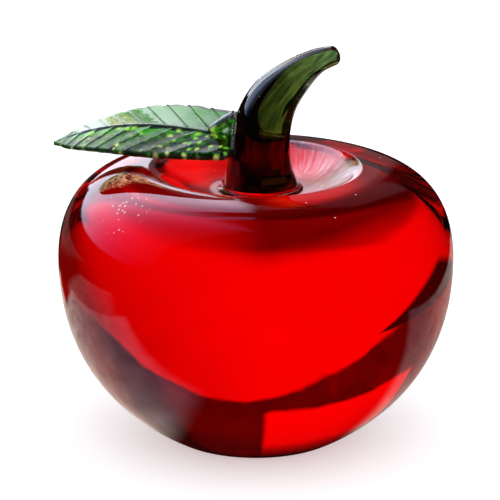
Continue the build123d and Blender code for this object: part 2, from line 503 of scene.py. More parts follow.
def glass(
    name, tint, density, streak, smudge, ior=GLASS_IOR, wave_height=0.0, wave_scale=1.0, relief=None,
    sheen=None, lustre=None, lustre_roughness=0.03, tone_and_painted_light=None, roughness=None, clearness=None,
):
    """Clear coloured glass: the colour is taken up in the depth of the glass, so thin places stay pale.
    tint is what is left after one unit of depth, and density sets that depth. streak colours the cords in
    the glass, and smudge roughens its skin. relief, lustre, tone_and_painted_light, roughness and clearness
    are functions; tone_and_painted_light gives the colour, which on the body and the stem holds painted shade
    and painted light."""
    material = bpy.data.materials.new(name)
    n = Nodes(material)
    place = n.add("ShaderNodeTexCoord").outputs["Object"]
    cords = n.noise(place, CORD_SCALE, detail=3.0, distortion=1.2)
    tone = n.mix(cords.ramp(0.42, 0.66), WHITE, rgb(*streak))
    touch = n.noise(place, SMUDGE_SCALE, detail=4.0).ramp(0.52, 0.70, 0.0, smudge)
    skin = {
        "IOR": ior,
        "Transmission Weight": clearness(n, place) if clearness else 1.0,
        "Base Color": tone_and_painted_light(n, place, tone) if tone_and_painted_light else tone,
        "Roughness": touch + roughness(n, place) if roughness else touch,
    }
    if sheen:
        skin["Specular Tint"] = rgb(*sheen)
    if lustre:
        # a thin fumed lustre on pressed glass, which mirrors more than bare glass does
        skin |= {"Coat Weight": lustre(n, place), "Coat IOR": LUSTRE_IOR, "Coat Roughness": lustre_roughness}
    if wave_height:
        height = n.noise(place, wave_scale, detail=1.0)
        height = height + relief(n, place) if relief else height
        bump = n.add("ShaderNodeBump", {"Strength": 1.0, "Distance": wave_height * MM, "Height": height})
        skin["Normal"] = bump.outputs["Normal"]
    shader = n.add("ShaderNodeBsdfPrincipled", skin)
    depth = n.add("ShaderNodeVolumeAbsorption", {"Color": rgb(*tint), "Density": density})
    n.add("ShaderNodeOutputMaterial", {"Surface": shader.outputs[0], "Volume": depth.outputs[0]})
    return material


# apple body

BODY_RADIUS = 40.0
WIDEST = 37.0
CREST_HEIGHT = 55.7
CREST_RADIUS = 21.8
BASE_RADIUS = 17.8
BEVEL = 0.5
FLARE = math.radians(29.3)
SEAT_HEIGHT = 51.3
SEAT_RADIUS = 10.05
SEAT_SLOPE = math.radians(6.0)
# how far the skin keeps its direction at the joints of its curves, as shares of the way
UNDER_PULL, SIDE_PULLS, CREST_PULLS, DIMPLE_PULL = 0.43, (0.47, 0.61), (0.68, 0.28), 0.55
FOOT_OFFSET = 0.85
BODY_TURNS = 288
UNROUNDNESS = 0.11
UNROUND_SCALE = 26.0
# the points of the profile with seeds beneath them, and the middle and spread of the shallow cluster
SEEDED = (105, 185)
CLUSTER_POINT, CLUSTER_ANGLE = (146, 4), (221, 6)


def body_profile():
    """Radius and height along the skin of the apple, from the middle of the flat to that of the seat."""
    skin = np.array([BASE_RADIUS + BEVEL * math.cos(FLARE), BEVEL * math.sin(FLARE)])
    rise = WIDEST - skin[1]
    low = skin + UNDER_PULL * rise * np.array([math.cos(FLARE), math.sin(FLARE)])
    shoulder = (CREST_RADIUS + CREST_PULLS[0] * (BODY_RADIUS - CREST_RADIUS), CREST_HEIGHT)
    crest = (CREST_RADIUS, CREST_HEIGHT)
    seat = (SEAT_RADIUS, SEAT_HEIGHT)
    width = CREST_RADIUS - SEAT_RADIUS
    run = DIMPLE_PULL * width
    floor = (SEAT_RADIUS + run * math.cos(SEAT_SLOPE), SEAT_HEIGHT + run * math.sin(SEAT_SLOPE))
    side = (BODY_RADIUS, WIDEST)
    side_below = (BODY_RADIUS, WIDEST - SIDE_PULLS[0] * rise)
    side_above = (BODY_RADIUS, WIDEST + SIDE_PULLS[1] * (CREST_HEIGHT - WIDEST))
    return chain(
        bezier([(BASE_RADIUS * 0.02, 0), (BASE_RADIUS - BEVEL, 0)], 14),
        bezier([(BASE_RADIUS - BEVEL, 0), (BASE_RADIUS, 0), skin], 6),
        bezier([skin, low, side_below, side], 80),
        bezier([side, side_above, shoulder, crest], 70),
        bezier([crest, (CREST_RADIUS - CREST_PULLS[1] * width, CREST_HEIGHT), floor, seat], 40),
        bezier([seat, (SEAT_RADIUS * 0.03, SEAT_HEIGHT)], 10),
    )


def body_mesh():
    """The skin of the apple. Hand-formed glass is never quite round: it is drawn in here and there."""
    loops = []
    for r, z in body_profile():
        loop = []
        for a in angles(BODY_TURNS):
            x, y = r * math.cos(a), r * math.sin(a)
            lift = min(max(z / 6.0, 0.0), 1.0)
            inward = UNROUNDNESS * lift * (0.5 + 0.5 * wave((x, y, z), UNROUND_SCALE, 1))
            scale = 1 - inward / max(r, 1.0) if r > SEAT_RADIUS + 0.5 else 1.0
            loop.append((x * scale, y * scale, z))
        loops.append(loop)
    return tube(loops, (0, 0, 0), (0, 0, SEAT_HEIGHT))


def seeds(count, seed, low_radius, high_radius, place):
    """The tiny gas bubbles that stay in hand-worked glass."""
    draw = random.Random(seed)
    return [(*ball(place(draw), draw.uniform(low_radius, high_radius)), True) for _ in range(count)]


def beneath(i, deep, a):
    """A place under the skin of the apple, at a point of its profile and an angle round it."""
    profile = body_profile()
    r, z = profile[i]
    step = profile[i + 1] - profile[i - 1]
    out = np.array([step[1], -step[0]]) / np.linalg.norm(step)
    r, z = r - out[0] * deep, z - out[1] * deep
    return (r * math.cos(a), r * math.sin(a), z)


def under_skin(draw):
    """A place just under the shoulder or the dimple of the apple."""
    return beneath(draw.randint(*SEEDED), draw.uniform(0.5, 2.5), draw.uniform(0, 2 * math.pi))


def in_cluster(draw):
    """A place in the loose cluster of shallow seeds at the front left of the crest."""
    point = round(draw.gauss(*CLUSTER_POINT))
    return beneath(point, draw.uniform(0.28, 0.5), math.radians(draw.gauss(*CLUSTER_ANGLE)))


# stem

FOOT_HEIGHT = 51.6
STEM_RISE = 26.9
STEM_REACH = 15.75
STEM_DIAMETER = 12.0
FOOT_DIAMETER = 15.2
TIP_DIAMETER = 3.6
TIP_ANGLE = math.radians(20.0)
FOOT_ROUND = 0.55
TIP_ROUND = 1.3
STEM_TURNS = 240
STEM_STATIONS = 220
GROOVE_DEPTH = 0.16
# shares of the rise, of the reach and of the diameter
STEM_SECTIONS = (
    (0.00, 0.000, FOOT_DIAMETER / STEM_DIAMETER),
    (0.13, -0.010, 1.12),
    (0.36, 0.005, 1.00),
    (0.55, 0.072, 0.93),
    (0.69, 0.189, 0.84),
    (0.83, 0.406, 0.66),
    (0.960, 0.700, 0.44),
    (1.020, 1.000, TIP_DIAMETER / STEM_DIAMETER),
)


def stem_line(count):
    """Centre points, directions and radii along the stem, from the foot to the tip."""
    rise, reach, share = np.array(STEM_SECTIONS).T
    points = np.stack([FOOT_OFFSET + reach * STEM_REACH, FOOT_HEIGHT + rise * STEM_RISE], 1)
    radii = share * STEM_DIAMETER / 2
    stations = np.concatenate([[0], np.cumsum(np.linalg.norm(np.diff(points, axis=0), axis=1))])
    tangents = slopes(points, stations)
    tangents[0] = (0, 1)
    tangents[-1] = (math.cos(TIP_ANGLE), math.sin(TIP_ANGLE))
    wanted = np.linspace(0, stations[-1], count)
    line = hermite(points, tangents, stations, wanted)
    radius = hermite(radii, slopes(radii, stations), stations, wanted)
    along = np.gradient(line, axis=0)
    along /= np.linalg.norm(along, axis=1)[:, None]
    length = np.concatenate([[0], np.cumsum(np.linalg.norm(np.diff(line, axis=0), axis=1))])
    return line, along, radius, length


def stem_mesh():
    line, along, radius, length = stem_line(STEM_STATIONS)
    loops = []
    total = length[-1]
    for (x, z), (tx, tz), r, s in zip(line, along, radius, length):
        if s < FOOT_ROUND:
            share = (FOOT_ROUND - s) / FOOT_ROUND
            r = r - FOOT_ROUND * (1 - math.sqrt(max(1 - share**2, 0.0)))
        if total - s < TIP_ROUND:
            share = 1 - (total - s) / TIP_ROUND
            r = r * math.sqrt(max(1 - share**2.2, 0.0004))
        loop = []
        fade = min(max(s - 1.0, 0.0) / 4.0, 1.0) * min(max(total - s, 0.0) / 6.0, 1.0)
        for a in angles(STEM_TURNS):
            # long shallow draw lines, where the hot glass was pulled out
            pull = 0.045 * math.sin(5 * a + 0.05 * s) + 0.030 * math.sin(9 * a + 1.3 - 0.08 * s)
            grooves = wave((5 * math.cos(a), 5 * math.sin(a), 0.16 * s), 1.05, 21)
            pull += GROOVE_DEPTH * grooves * (0.75 + 0.25 * math.sin(a + 2.4))
            rr = r - 0.09 * fade + pull * fade * min(r / 6.0, 1.0)
            side, up = rr * math.cos(a), rr * math.sin(a)
            loop.append((x - tz * up, side, z + tx * up))
        loops.append(loop)
    start = (line[0][0], 0, line[0][1])
    end = (line[-1][0], 0, line[-1][1])
    return tube(loops, start, end)


# leaf

LEAF_LENGTH = 42.7
LEAF_WIDTH = 18.3
LEAF_HALF = LEAF_WIDTH / 2
LEAF_THICK = 1.7
LEAF_TIP_THICK = 0.7
LEAF_STRAIGHT = 11.2
LEAF_BEND = 59.0
LEAF_FOLD = math.radians(4.4)
VEIN_ANGLE = math.radians(44.0)
VEIN_TAN = math.tan(VEIN_ANGLE)
VEIN_REACH = LEAF_WIDTH / VEIN_TAN
VEIN_STEPS = 9
VEIN_CROWDING = 0.85
NEAR_VEINS = 0.0
FAR_VEINS = 0.5
TOOTH = {NEAR_VEINS: 0.14, FAR_VEINS: 0.70}
CORNER = {NEAR_VEINS: 1.04, FAR_VEINS: 1.25}
RIDGE = {NEAR_VEINS: (0.09, 0.16), FAR_VEINS: (0.15, 0.24)}
FACET = 0.5
NEAR_CUT = 0.35
NEAR_EAR = 2.6
NEAR_DEPTH = 0.14
FAR_DEPTH = 0.20
FAR_RAISE = 0.11
UNDER_SWELL = 0.10
MIDRIB_RADII = (0.66, 0.34)
BASE_ROUND = 1.3
LEAST_WIDTH = 0.12
# where the outline is widest, and how full it is toward the base and the tip
WIDEST_SHARE, BASE_SHARE = 0.32, 0.10
BASE_POWER, TIP_POWER = 0.48, 0.76
BLADE_STATIONS, FLAT_POINTS, RIM_POINTS = 250, 52, 7
# where pearls stand out of the underside: along the leaf, away from the midrib, and their radius
PEARLS = (
    (14.4, 1.6, 0.62), (9.1, 1.2, 0.6), (7.6, 3.8, 0.66), (7.8, 5.8, 0.62), (3.7, 2.5, 0.6),
    (14.8, 7.5, 0.62), (11.9, 5.4, 0.64), (11.1, 3.9, 0.6), (20.4, 2, 0.62), (27.4, 4.9, 0.6),
    (33.5, 1.3, 0.52), (30.7, 2.9, 0.55), (24.6, 5.8, 0.6), (22.5, 3.7, 0.62), (20.2, 6.3, 0.64),
    (25, 1.4, 0.56), (1.7, 4.4, 0.6), (5.2, 5.5, 0.62), (17.6, 6, 0.64), (15, 5.3, 0.58),
    (15.1, 3, 0.6), (6.6, 1.9, 0.56), (2.3, 1.2, 0.54), (17.9, 3.6, 0.58), (28.6, 1.6, 0.52),
)


def bend_x(s):
    turn = np.maximum(s - LEAF_STRAIGHT, 0) / LEAF_BEND
    return np.minimum(s, LEAF_STRAIGHT) + LEAF_BEND * np.sin(turn)


def bend_z(s):
    turn = np.maximum(s - LEAF_STRAIGHT, 0) / LEAF_BEND
    return LEAF_BEND * np.cos(turn) - LEAF_BEND


LEAF_REACH = float(bend_x(LEAF_LENGTH))


def half_width(x):
    u = np.clip(np.asarray(x, float) / LEAF_REACH, 0, 1)
    shape = (u + BASE_SHARE) ** BASE_POWER * (1 - u) ** TIP_POWER
    widest = (WIDEST_SHARE + BASE_SHARE) ** BASE_POWER * (1 - WIDEST_SHARE) ** TIP_POWER
    return LEAF_HALF * shape / widest


def vein_places(offset):
    """Where the veins of one half start along the midrib, with some before its base and beyond its tip."""
    places = []
    for step in range(1, VEIN_STEPS):
        share = (step + offset) / VEIN_STEPS
        if share < 1:
            places.append(LEAF_LENGTH * share**VEIN_CROWDING)
    gap = places[1] - places[0]
    behind = math.ceil(LEAF_WIDTH / gap)
    before = [places[0] - gap * k for k in range(behind, 0, -1)]
    return np.array(before + places + [LEAF_LENGTH, LEAF_LENGTH + 6])


def vein_end_x(s):
    """How far along the leaf a vein that starts at s meets the edge, found by closing in on it."""
    x = start = float(bend_x(s))
    for _ in range(60):
        x = start + float(half_width(x)) / VEIN_TAN
    return x


def edge_width(x, offset):
    """Half width of the blade with its forward-leaning teeth, which are faint on the near side."""
    stops = [vein_end_x(s) for s in vein_places(offset)[:-2]]
    stops = [p for p in stops if 0.04 * LEAF_REACH < p < 0.95 * LEAF_REACH]
    corner = float(half_width(0.0)) * CORNER[offset]
    xs = np.array([0.0] + stops + [LEAF_REACH])
    ws = np.array([corner] + [float(half_width(p)) for p in stops] + [0.0])
    i = np.clip(np.searchsorted(xs, x, side="right") - 1, 0, len(xs) - 2)
    at_tip = i == len(xs) - 2
    t = (x - xs[i]) / (xs[i + 1] - xs[i])
    chord = ws[i] * (1 - t) + ws[i + 1] * t
    belly = TOOTH[offset] * np.sin(np.pi * np.clip(t, 0, 1) ** 1.15)
    step = 0.4 * TOOTH[offset] * np.clip(t, 0, 1) ** 3
    if offset == NEAR_VEINS:
        chord = chord - NEAR_CUT * np.clip(x / 6.0, 0, 1) * np.clip((LEAF_REACH - x) / 3.0, 0, 1)
    return chord + (belly + step) * np.where(at_tip, 0.6 * (1 - t**6), 1.0)


def vein_coordinate(x, out):
    """The place on the midrib where the vein through a point of the blade starts."""
    share = out / LEAF_WIDTH
    low = np.full_like(x, -30.0)
    high = np.full_like(x, 60.0)
    for _ in range(40):
        middle = (low + high) / 2
        value = (1 - share) * bend_x(middle) + share * bend_x(middle + VEIN_REACH)
        low = np.where(value < x, middle, low)
        high = np.where(value < x, high, middle)
    return (low + high) / 2


def lobe_place(q, offset):
    """Where a place lies between two veins, from 0 to 1, and how wide the lobe between them is."""
    places = vein_places(offset)
    i = np.clip(np.searchsorted(places, q, side="right") - 1, 0, len(places) - 2)
    gap = places[i + 1] - places[i]
    return np.clip((q - places[i]) / gap, 0, 1), gap


def leaf_heights(x, out, offset):
    """Upper and lower height of the blade at places on one half of it."""
    q = vein_coordinate(x, out)
    share = out / LEAF_WIDTH
    middle = (1 - share) * bend_z(q) + share * bend_z(q + VEIN_REACH)
    station = q + out / VEIN_TAN
    turn = np.maximum(station - LEAF_STRAIGHT, 0) / LEAF_BEND
    thick = LEAF_THICK + (LEAF_TIP_THICK - LEAF_THICK) * np.clip(station / LEAF_LENGTH, 0, 1)
    if offset == FAR_VEINS:
        middle = middle + FAR_RAISE * out
    upper = middle - out * math.sin(LEAF_FOLD)
    lower = upper - thick / np.cos(np.clip(turn, 0, 1))
    taper = np.clip((LEAF_LENGTH + 1.5 - station) / 7.0, 0.15, 1)

    t, gap = lobe_place(q, offset)
    height, width = RIDGE[offset]
    ridge = height * np.exp(-((np.minimum(t, 1 - t) * gap * math.sin(VEIN_ANGLE) / width) ** 2))
    if offset == NEAR_VEINS:
        # shingled lobes: each falls from a sharp vein into a hollow, and climbs again to the next vein
        fall = np.clip(1 - t / FACET, 0, 1) ** 1.5
        climb = np.clip((t - FACET) / (1 - FACET), 0, 1) ** 1.7
        upper = upper + (NEAR_DEPTH * (fall + climb) + ridge) * taper
    else:
        # nearly flat lobes with a narrow raised vein between them
        upper = upper + (FAR_DEPTH * (1 - t) ** 1.2 + ridge * np.clip(out / 0.8, 0, 1)) * taper

    # the underside is smooth but for the pearls that the mould leaves on it
    lower = lower - UNDER_SWELL * (4 * t * (1 - t)) ** 0.8 * taper
    if offset == NEAR_VEINS:
        for place, away, size in PEARLS:
            inside = np.maximum(1 - ((x - place) ** 2 + (out - away) ** 2) / size**2, 0)
            lower = lower - 0.55 * size * np.sqrt(inside)

    # the midrib stands a little out of the upper side
    s = np.clip(station, 0, LEAF_LENGTH)
    thick_end, thin_end = MIDRIB_RADII
    radius = thick_end + (thin_end - thick_end) * np.clip(s / (0.93 * LEAF_LENGTH), 0, 1)
    crown = np.sqrt(np.maximum(radius**2 - out**2, 0)) - radius / 2
    return np.maximum(upper, np.where(out < radius, bend_z(s) + crown, -np.inf)), lower

def blade_side(x, ease, side, offset):
    """Upper and lower points of one half of the blade across the leaf, from the midrib to the rim."""
    width = max(float(edge_width(np.array([x]), offset)[0]), LEAST_WIDTH) * (0.72 + 0.28 * ease)
    ear = NEAR_EAR * max(1 - x / 9.0, 0.0) ** 2 if offset == NEAR_VEINS else 0.0

    def point(out, height):
        return (x - ear * (out / width) ** 1.3, side * out * math.cos(LEAF_FOLD), height)

    top, bottom = leaf_heights(np.array([x]), np.array([width * 0.97]), offset)
    round_size = min(0.5 * float(top[0] - bottom[0]), 0.45 * width)
    flat = width - round_size
    spread = np.linspace(0, 1, FLAT_POINTS)
    out = (np.sin(spread * math.pi / 2) * 0.35 + spread * 0.65) * flat
    upper, lower = leaf_heights(np.full(FLAT_POINTS, x), out, offset)
    middle = (upper + lower) / 2
    half = (upper - lower) / 2 * ease
    tops = [point(o, m + h) for o, m, h in zip(out, middle, half)]
    lows = [point(o, m - h) for o, m, h in zip(out, middle, half)]
    fall = -round_size * math.sin(LEAF_FOLD)
    for k in range(1, RIM_POINTS):
        a = math.pi / 2 * k / RIM_POINTS
        o = flat + round_size * math.sin(a)
        m = middle[-1] + fall * math.sin(a)
        h = half[-1] * math.cos(a)
        tops.append(point(o, m + h))
        lows.append(point(o, m - h))
    lows.append(point(width, middle[-1] + fall))
    return tops, lows


def leaf_blade():
    """Closed loops across the blade, from the base to the tip."""
    loops = []
    for share in np.linspace(0, 1, BLADE_STATIONS):
        x = 0.02 + (LEAF_REACH - 0.06) * (share * 0.96 + 0.04 * share**2)
        ease = math.sqrt(max(1 - (1 - min(x / BASE_ROUND, 1)) ** 2, 0.02))
        near_top, near_low = blade_side(x, ease, 1, NEAR_VEINS)
        far_top, far_low = blade_side(x, ease, -1, FAR_VEINS)
        loops.append(near_top[::-1] + far_top[1:] + far_low[::-1] + near_low[1:])
    start = np.mean(loops[0], axis=0)
    end = np.mean(loops[-1], axis=0) + np.array([0.05, 0, 0])
    return tube(loops, start, end)


LEAF_YAW, LEAF_PITCH, LEAF_ROLL = (math.radians(a) for a in (24.0, 1.5, 16.4))
LEAF_BASE = np.array([FOOT_OFFSET - STEM_DIAMETER / 2, 2.7, FOOT_HEIGHT + 9.95])
STALK_JOINT = np.array([FOOT_OFFSET - 0.58 * STEM_DIAMETER / 2, 2.0, FOOT_HEIGHT + 14.9])
STALK_START = 0.085 * LEAF_LENGTH
STALK_LIFT = 0.69
STALK_RADII = (1.15, 1.4)
STALK_BOW = 0.12
STALK_GAP = 0.3
STALK_TURNS, STALK_STEPS, STALK_CAP = 28, 14, 5


def turn(axis, angle):
    """The matrix of a turn about one of the axes, 0 to 2."""
    i, j = (axis + 1) % 3, (axis + 2) % 3
    out = np.eye(3)
    out[i, i] = out[j, j] = math.cos(angle)
    out[j, i] = math.sin(angle)
    out[i, j] = -math.sin(angle)
    return out


LEAF_TURN = turn(2, math.pi - LEAF_YAW) @ turn(1, -LEAF_PITCH) @ turn(0, -LEAF_ROLL)


def in_place(point):
    return LEAF_TURN @ np.asarray(point, float) + LEAF_BASE


STALK_ROOT = in_place((float(bend_x(STALK_START)), 0, float(bend_z(STALK_START)) + STALK_LIFT))


def bar(start, end, start_radius, end_radius, bow):
    """A bar between two places, rounded at its start and bowed a little upward."""
    along = (end - start) / np.linalg.norm(end - start)
    aside = np.cross(along, (0, 0, 1.0))
    aside /= np.linalg.norm(aside)
    up = np.cross(aside, along)
    rings = []
    for i in range(STALK_CAP, 0, -1):
        a = math.pi / 2 * i / (STALK_CAP + 0.5)
        rings.append((start - along * start_radius * math.sin(a), start_radius * math.cos(a)))
    for t in np.linspace(0, 1, STALK_STEPS + 1):
        centre = start + (end - start) * t + up * bow * math.sin(math.pi * t)
        rings.append((centre, start_radius + (end_radius - start_radius) * t))
    loops = [
        [centre + radius * (aside * math.cos(a) + up * math.sin(a)) for a in angles(STALK_TURNS)]
        for centre, radius in rings
    ]
    return tube(loops, start - along * start_radius, end)


def stem_spine():
    """Places down the middle of the stem, and its radius at each."""
    line, _, radius, _ = stem_line(400)
    return np.stack([line[:, 0], np.zeros(len(line)), line[:, 1]], 1), radius


def free_reach(start, along, longest=12.0, step=0.02):
    """How far from start a point can go before it meets the stem."""
    centres, radius = stem_spine()
    reach = 0.0
    while reach < longest:
        point = start + along * reach
        if np.min(np.linalg.norm(centres - point, axis=1) - radius) < STALK_GAP:
            break
        reach += step
    return reach


def leaf_parts():
    verts, faces = leaf_blade()
    # the stalk stops a hair short of the stem, where the adhesive holds it
    length = np.linalg.norm(STALK_JOINT - STALK_ROOT)
    along = (STALK_JOINT - STALK_ROOT) / length
    reach = free_reach(STALK_ROOT, along)
    thin, thick = STALK_RADII
    stalk = bar(STALK_ROOT, STALK_ROOT + along * reach, thin, thin + (thick - thin) * reach / length, STALK_BOW)
    return [([tuple(in_place(v)) for v in verts], faces, False), (*stalk, False)]


# adhesive

FILM_TOP, FILM_LOW = 0.24, 0.02
FILLET_REACH = 1.28
BEAD_SIZE = 2.1
BEAD_POLE = 2.0
BEAD_BACK = 0.23
BEAD_DROP = 1.0
BEAD_GAP = 0.03


def stem_adhesive_mesh():
    """The film under the foot and the uneven fillet that was squeezed out round it."""
    foot = FOOT_DIAMETER / 2
    profile = [(foot * share, FILM_TOP) for share in (0.05, 0.5, 0.9)]
    profile += [(foot - 0.45, 0.25), (foot - 0.1, 0.42), (foot + 0.06, 0.72)]
    profile += list(bezier([(foot + 0.10, 1.06), (foot + 0.18, 0.45), (foot + FILLET_REACH, 0.10)], 12))
    profile += [(foot + FILLET_REACH, 0.03)] + [(foot * share, FILM_LOW) for share in (0.9, 0.4, 0.05)]
    loops = []
    for r, z in profile:
        loop = []
        ring = max(r - foot, 0.0) / FILLET_REACH
        for a in angles(160):
            x, y = 9 * math.cos(a), 9 * math.sin(a)
            rr = r - ring * (0.22 + 0.22 * wave((x, y, 0), 5.0, 4))
            zz = z * (1 - 0.12 * (0.5 + 0.5 * wave((x, y, 3), 4.0, 5))) if z > 0.3 else z
            loop.append((FOOT_OFFSET + rr * math.cos(a), rr * math.sin(a), SEAT_HEIGHT + zz))
        loops.append(loop)
    return tube(loops, (FOOT_OFFSET, 0, SEAT_HEIGHT + FILM_TOP), (FOOT_OFFSET, 0, SEAT_HEIGHT + FILM_LOW))


def leaf_adhesive_mesh():
    """A round bead between the stalk and the stem, pushed out to the stem's skin where it meets it."""
    centre = STALK_JOINT + (STALK_ROOT - STALK_JOINT) * BEAD_BACK - np.array([0, 0, BEAD_DROP])
    centres, radius = stem_spine()

    def settle(p):
        away = p - centres
        far = np.linalg.norm(away, axis=1) - radius
        i = int(np.argmin(far))
        if far[i] < BEAD_GAP:
            p = centres[i] + away[i] / np.linalg.norm(away[i]) * (radius[i] + BEAD_GAP)
        return tuple(p)

    rings = 24
    loops = []
    for i in range(1, rings):
        a = math.pi * i / rings
        loop = []
        for b in angles(40):
            d = np.array([math.sin(a) * math.cos(b), math.sin(a) * math.sin(b), -math.cos(a)])
            loop.append(settle(centre + d * BEAD_SIZE * (0.93 + 0.06 * wave(d * 3, 1.6, 9))))
        loops.append(loop)
    pole = np.array([0, 0, BEAD_POLE])
    return tube(loops, settle(centre - pole), settle(centre + pole))


# stage

DEGREES = 180 / math.pi
PLAIN_SKY = rgb(0.95, 0.97, 1.0)

# how the bright surround dims to one side, and falls off on the left
SIDE_FALL = ((-2, 1.08), (6, 0.97), (15, 0.84), (26, 0.70), (36, 0.42), (42, 0.26), (62, 0.32), (88, 1.08))
LEFT_FALL = ((-90, 0.7), (-74, 0.5), (-62, 0.2), (-37, 0.1), (-30, 1.0))
# the dim band over the surround, and the pane above the band
DIM_SIDES = ((-90, 0.45), (-60, 0.30), (-50, 0.13), (-2, 0.13), (20, 0.11), (24, 0.035))
DIM_SIDES += ((36, 0.035), (46, 0.14), (80, 0.20), (90, 0.45))
PANE_FALL = ((38, 1.2), (44, 0.6), (52, 0.3))

# the mirrored window's near and wide parts by elevation, and their shares of red, green and blue
NEAR_FALL = ((36, 2.9), (44, 1.75), (52, 0.95), (60, 0.36), (85, 0.10))
WIDE_FALL = ((36, 3.5), (44, 2.3), (52, 1.6), (60, 1.0), (85, 0.35))
NEAR_SHARES = (0.68, 0.54, 0.05)
WIDE_SHARES = (0.30, 0.49, 0.98)
GOLD_SHARES = (1.25, 0.90, 0.42)
FLAG_CENTRE = (-14.0, 23.0)
FLAG_SIZE = (13.5, 7.3)
FLAG_CROWN = ((-26, 20.5), (-16, 25), (-8, 21.5), (-2, 20))
# soft-edged patches: a range of azimuth, a range of elevation, a softness and a level
WINDOW_HAZE = ((-116, 0), (18, 86), 4.0, 0.10)
FAINT_PANES = (((-4, 9), (0, 45), 1.5, 0.12), ((-4, 23), (22, 45), 2.0, 0.10), ((0, 7), (14, 30), 2.0, 0.22))

# patches of painted light on the floor, by x and y in millimetres, that the skin mirrors
MIRRORED_FLOOR = (
    ((-106, -20), (-42, 56), 5.0, 0.80),
    ((-72, -20), (40, 98), 6.0, 0.80),
    ((-175, -95), (-26, 62), 10.0, 0.28),
    ((20, 112), (-10, 160), 4.0, 0.42),
    ((-30, 30), (24, 130), 6.0, 0.55),
    ((-400, -100), (150, 700), 40.0, 0.09),
)
# painted shade on the floor seen through the glass, by the distances aside and away
FLOOR_SHADE = (
    ((-12, 3), (20, 79), 5.0, 0.44),
    ((-26, 3), (22, 41), 3.5, 0.80),
    ((-9, 30), (35, 48), 3.0, 0.72),
)
SHADE_STRIP = ((22, 130), (36, 61), 4.5, 0.96)
FLANK_SHADE = ((20, 62), (-22, 22), 7.0, 0.6)
FRONT_SHADE = ((-150, -66), (-135, -88), 8.0, 0.9)
FLOOR_TONES = (rgb(0.90, 0.90, 0.90), rgb(0.93, 0.93, 0.93))
FLOOR_WARMTH = (1.12, 1.0, 0.86)
FLOOR_GLOW = 0.45
FLOOR_SIZE = 4000.0
FLOOR_DROP = 0.02


def panels(across, up, *patches):
    """The brightest of several soft-edged patches, each two ranges, a softness and a level."""
    first, *others = (across.band(*a, soft, level) * up.band(*b, soft) for a, b, soft, level in patches)
    return first.most(*others)


def folded(n, azimuth):
    """The azimuth, made the same before and behind."""
    return n.math("WRAP", azimuth, 90.0, -90.0)


def seen_through(n, direction, turned, elevation):
    """What shines through the glass: a bright surround to just above the horizon, a dim band, and a pane."""
    azimuth = turned * DEGREES
    wrapped = folded(n, azimuth)
    blotches = n.noise(direction, 5.0, detail=3.0)
    ragged = (blotches - 0.5) * 7.0
    brink = n.math("COSINE", turned * 4.0 - 0.35) * 7.0 + 7.0 + ragged
    below = (elevation - brink).ramp(-1.2, 1.2, 1.0, 0.0)
    below = below * wrapped.slope(*SIDE_FALL) * wrapped.slope(*LEFT_FALL)
    above = (elevation + ragged * 0.6).ramp(17.0, 19.5) * elevation.slope(*PANE_FALL)
    above = above * wrapped.band(-50.0, -2.2, 1.2)
    dim = wrapped.slope(*DIM_SIDES) * (blotches * 1.2 + 0.4)
    gloom = abs(azimuth).ramp(100, 112) * elevation.ramp(-1, 3)
    return below.most(above, dim) * (gloom * -0.88 + 1.0)


def seen_mirrored(n, direction, azimuth, elevation):
    """What the polished skin mirrors: a tall bright window behind on the left that fades aside and upward."""
    sill = azimuth.ramp(-24, -18, 9.5, 4.5)
    edge = azimuth.ramp(-2.2, 0.6, 1.0, 0.0) * (elevation - sill).ramp(-1.2, 1.2)
    edge = edge * azimuth.ramp(-35, -2, 1.0, 0.82, smooth=False)
    near = azimuth.ramp(-86, -35, smooth=False) ** 2.0 * elevation.slope(*NEAR_FALL) * edge
    wide = azimuth.ramp(-118, -35, smooth=False) ** 2.0 * elevation.slope(*WIDE_FALL) * edge
    # something brown and pointed stands before the window, dark at its top and golden below
    across, up = ((m - c) / size for m, c, size in zip((azimuth, elevation), FLAG_CENTRE, FLAG_SIZE))
    flag = (across**2.0 + up**2.0).ramp(0.90, 1.06, 1.0, 0.0)
    ribs = n.noise(direction, 42.0, detail=3.0, distortion=1.5).ramp(0.44, 0.60, 0.15, 2.2)
    golden = (elevation - azimuth.slope(*FLAG_CROWN)).ramp(1.0, -1.5) * ribs * flag
    # two dark bars cross the window near its top
    bars = elevation.band(51.0, 60.0, 1.0) * azimuth.ramp(-30, -6)
    bars = bars.most(elevation.ramp(63.0, 68.0) * azimuth.ramp(-40, -10))
    clear = 1.0 - flag.most(bars)
    haze = panels(azimuth, elevation, WINDOW_HAZE) * clear
    rest = panels(azimuth, elevation, *FAINT_PANES) + 0.005
    near, wide = near * clear, wide * clear
    return n.join(
        *(
            near * near_share + rest + (wide * wide_share + haze) + golden * gold_share
            for near_share, wide_share, gold_share in zip(NEAR_SHARES, WIDE_SHARES, GOLD_SHARES)
        ),
        kind="Color",
    )


def make_world():
    world = bpy.data.worlds.new("studio")
    bpy.context.scene.world = world
    n = Nodes(world)
    direction = n.add("ShaderNodeTexCoord").outputs["Generated"]
    x, y, z = n.split(direction)
    turned = n.math("ARCTAN2", x, y)
    elevation = n.math("ARCSINE", z) * DEGREES
    through = seen_through(n, direction, turned, elevation)
    by_mirror, by_glass, by_camera = n.rays()
    colour = n.mix(by_mirror, PLAIN_SKY, seen_mirrored(n, direction, turned * DEGREES, elevation))
    colour = n.mix(by_glass, colour, n.grey(through))
    colour = n.mix(by_camera, colour, WHITE)
    shade = n.add("ShaderNodeBackground", {"Color": colour, "Strength": 1.0})
    n.add("ShaderNodeOutputWorld", {"Surface": shade.outputs[0]})


